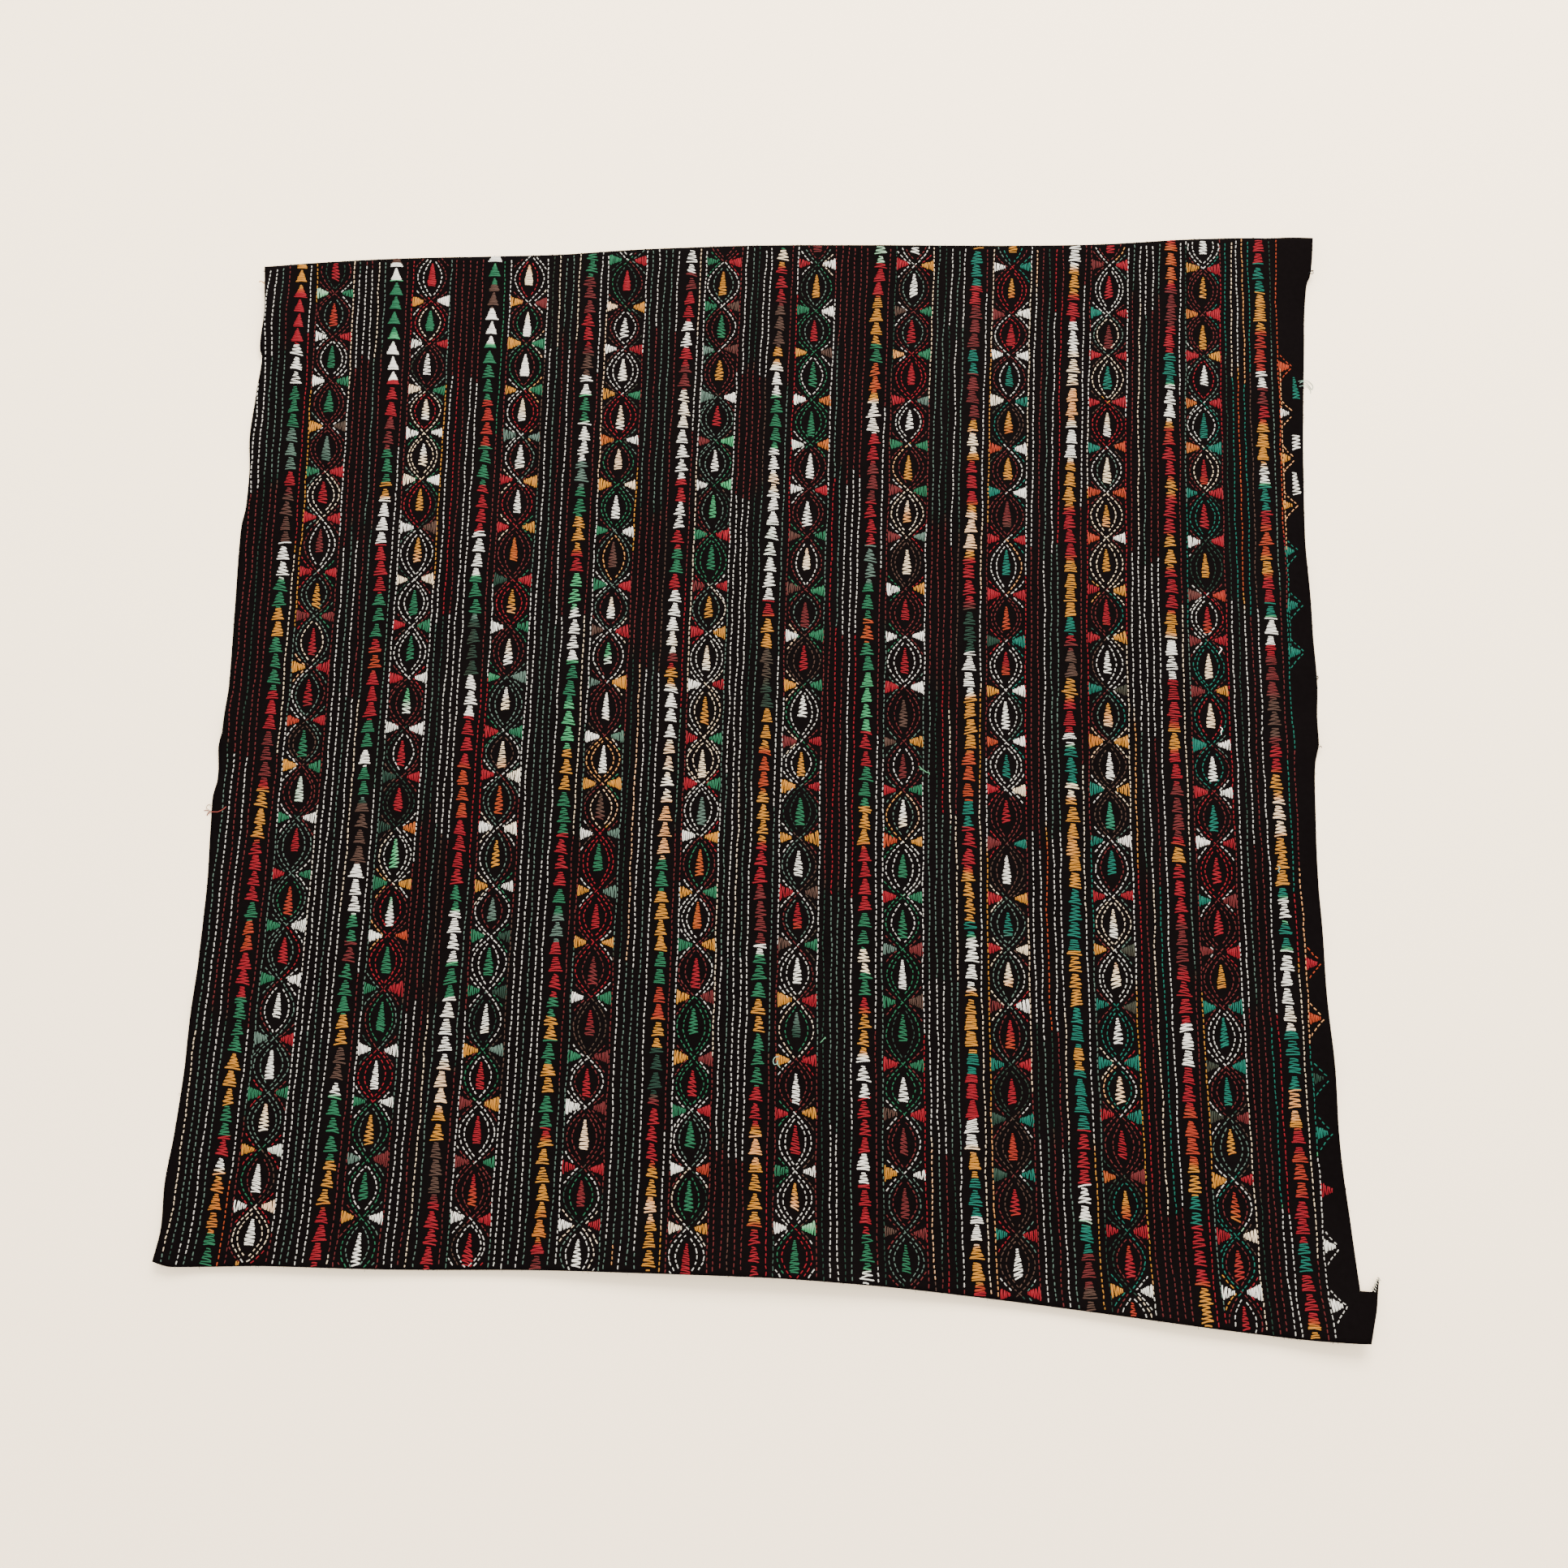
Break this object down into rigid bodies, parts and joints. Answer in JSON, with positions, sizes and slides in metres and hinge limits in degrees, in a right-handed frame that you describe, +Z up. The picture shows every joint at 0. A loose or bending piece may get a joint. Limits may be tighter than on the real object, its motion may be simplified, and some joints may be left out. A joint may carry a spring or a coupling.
{
  "type": "blouse piece, a cut length of kantha-stitched cotton",
  "caption": "Cut length of black cotton, striped with running-stitch lines, columns of nested pointed ovals and stacked satin-stitch triangles, laid out flat to be sewn into a blouse.",
  "frame": {"origin": "middle of the panel's box, on the surface that it lies on", "axes": "+Z up, out of the embroidered face; +Y along the stripes, the way the triangles point; +X across the stripes, towards the plain margin"},
  "size_m": [0.903, 0.904, 0.0159],
  "materials": {
    "cotton": "matt black plain-weave cotton, stitched all over in variegated cotton thread"
  },
  "bodies": {
    "root": {"cloth": "cotton"}
  },
  "joints": []
}
